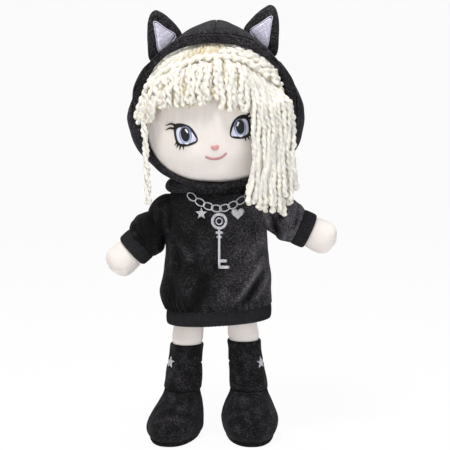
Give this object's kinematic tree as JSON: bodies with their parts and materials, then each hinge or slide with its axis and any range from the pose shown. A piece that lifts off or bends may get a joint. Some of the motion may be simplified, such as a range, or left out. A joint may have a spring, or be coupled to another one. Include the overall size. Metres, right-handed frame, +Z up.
{
  "type": "soft doll",
  "caption": "Soft stuffed doll with yarn hair in a hooded velvet dress with animal ears and stuffed boots; head, arms and legs turn on sewn joints.",
  "frame": {"origin": "middle of the doll's box on the floor, under its soles", "axes": "+Z up from the soles to the ears, +X towards the doll's own left hand, the face looks along -Y"},
  "size_m": [0.184, 0.1036, 0.3495],
  "materials": {
    "skin": "short-pile plush",
    "velvet": "velvet",
    "rib": "rib knit",
    "yarn": "twisted yarn",
    "silver_thread": "satin stitch in metallic thread",
    "silver_cloth": "metallic cloth",
    "eye_thread": "satin stitch",
    "pink_thread": "satin stitch"
  },
  "bodies": {
    "torso": {"torso": "skin", "dress_front": "velvet", "dress_back": "velvet", "hem_band": "rib", "neck_band": "velvet", "chain_embroidery": "silver_thread", "key_embroidery": "silver_thread", "star_embroidery": "silver_thread", "heart_embroidery": "silver_thread"},
    "head": {"head": "skin", "left_eye": "eye_thread", "right_eye": "eye_thread", "nose": "pink_thread", "mouth": "pink_thread", "hair_crown": "yarn", "hair_fringe": "yarn", "left_side_lock": "yarn", "right_side_strand": "yarn", "hood_left": "velvet", "hood_right": "velvet", "hood_rim": "velvet", "left_ear": "velvet", "right_ear": "velvet", "left_ear_panel": "silver_cloth", "right_ear_panel": "silver_cloth"},
    "left_arm": {"left_arm": "skin", "left_sleeve": "velvet", "left_cuff": "rib"},
    "right_arm": {"right_arm": "skin", "right_sleeve": "velvet", "right_cuff": "rib"},
    "left_leg": {"left_leg": "skin", "left_boot_shaft": "velvet", "left_boot_foot": "velvet", "left_boot_sole": "velvet", "left_boot_star": "silver_thread"},
    "right_leg": {"right_leg": "skin", "right_boot_shaft": "velvet", "right_boot_foot": "velvet", "right_boot_sole": "velvet", "right_boot_star": "silver_thread"}
  },
  "joints": [
    {"name": "head_turn", "type": "hinge", "parent": "torso", "child": "head", "pos_m": [-0.00517, -0.00017, 0.207], "axis": [0, 0, 1], "range_deg": [-15, 15], "deforming": ["neck_band"]},
    {"name": "left_shoulder", "type": "hinge", "parent": "torso", "child": "left_arm", "pos_m": [0.03283, -0.00017, 0.1845], "axis": [0, 1, 0], "range_deg": [-38, 18], "deforming": ["left_sleeve"]},
    {"name": "right_shoulder", "type": "hinge", "parent": "torso", "child": "right_arm", "pos_m": [-0.04118, -0.00017, 0.1794], "axis": [0, 1, 0], "range_deg": [-4, 55], "deforming": ["right_sleeve"]},
    {"name": "left_hip", "type": "hinge", "parent": "torso", "child": "left_leg", "pos_m": [0.01582, -0.00017, 0.103], "axis": [1, 0, 0], "range_deg": [-36, 30]},
    {"name": "right_hip", "type": "hinge", "parent": "torso", "child": "right_leg", "pos_m": [-0.02517, -0.00017, 0.103], "axis": [1, 0, 0], "range_deg": [-36, 30]}
  ]
}
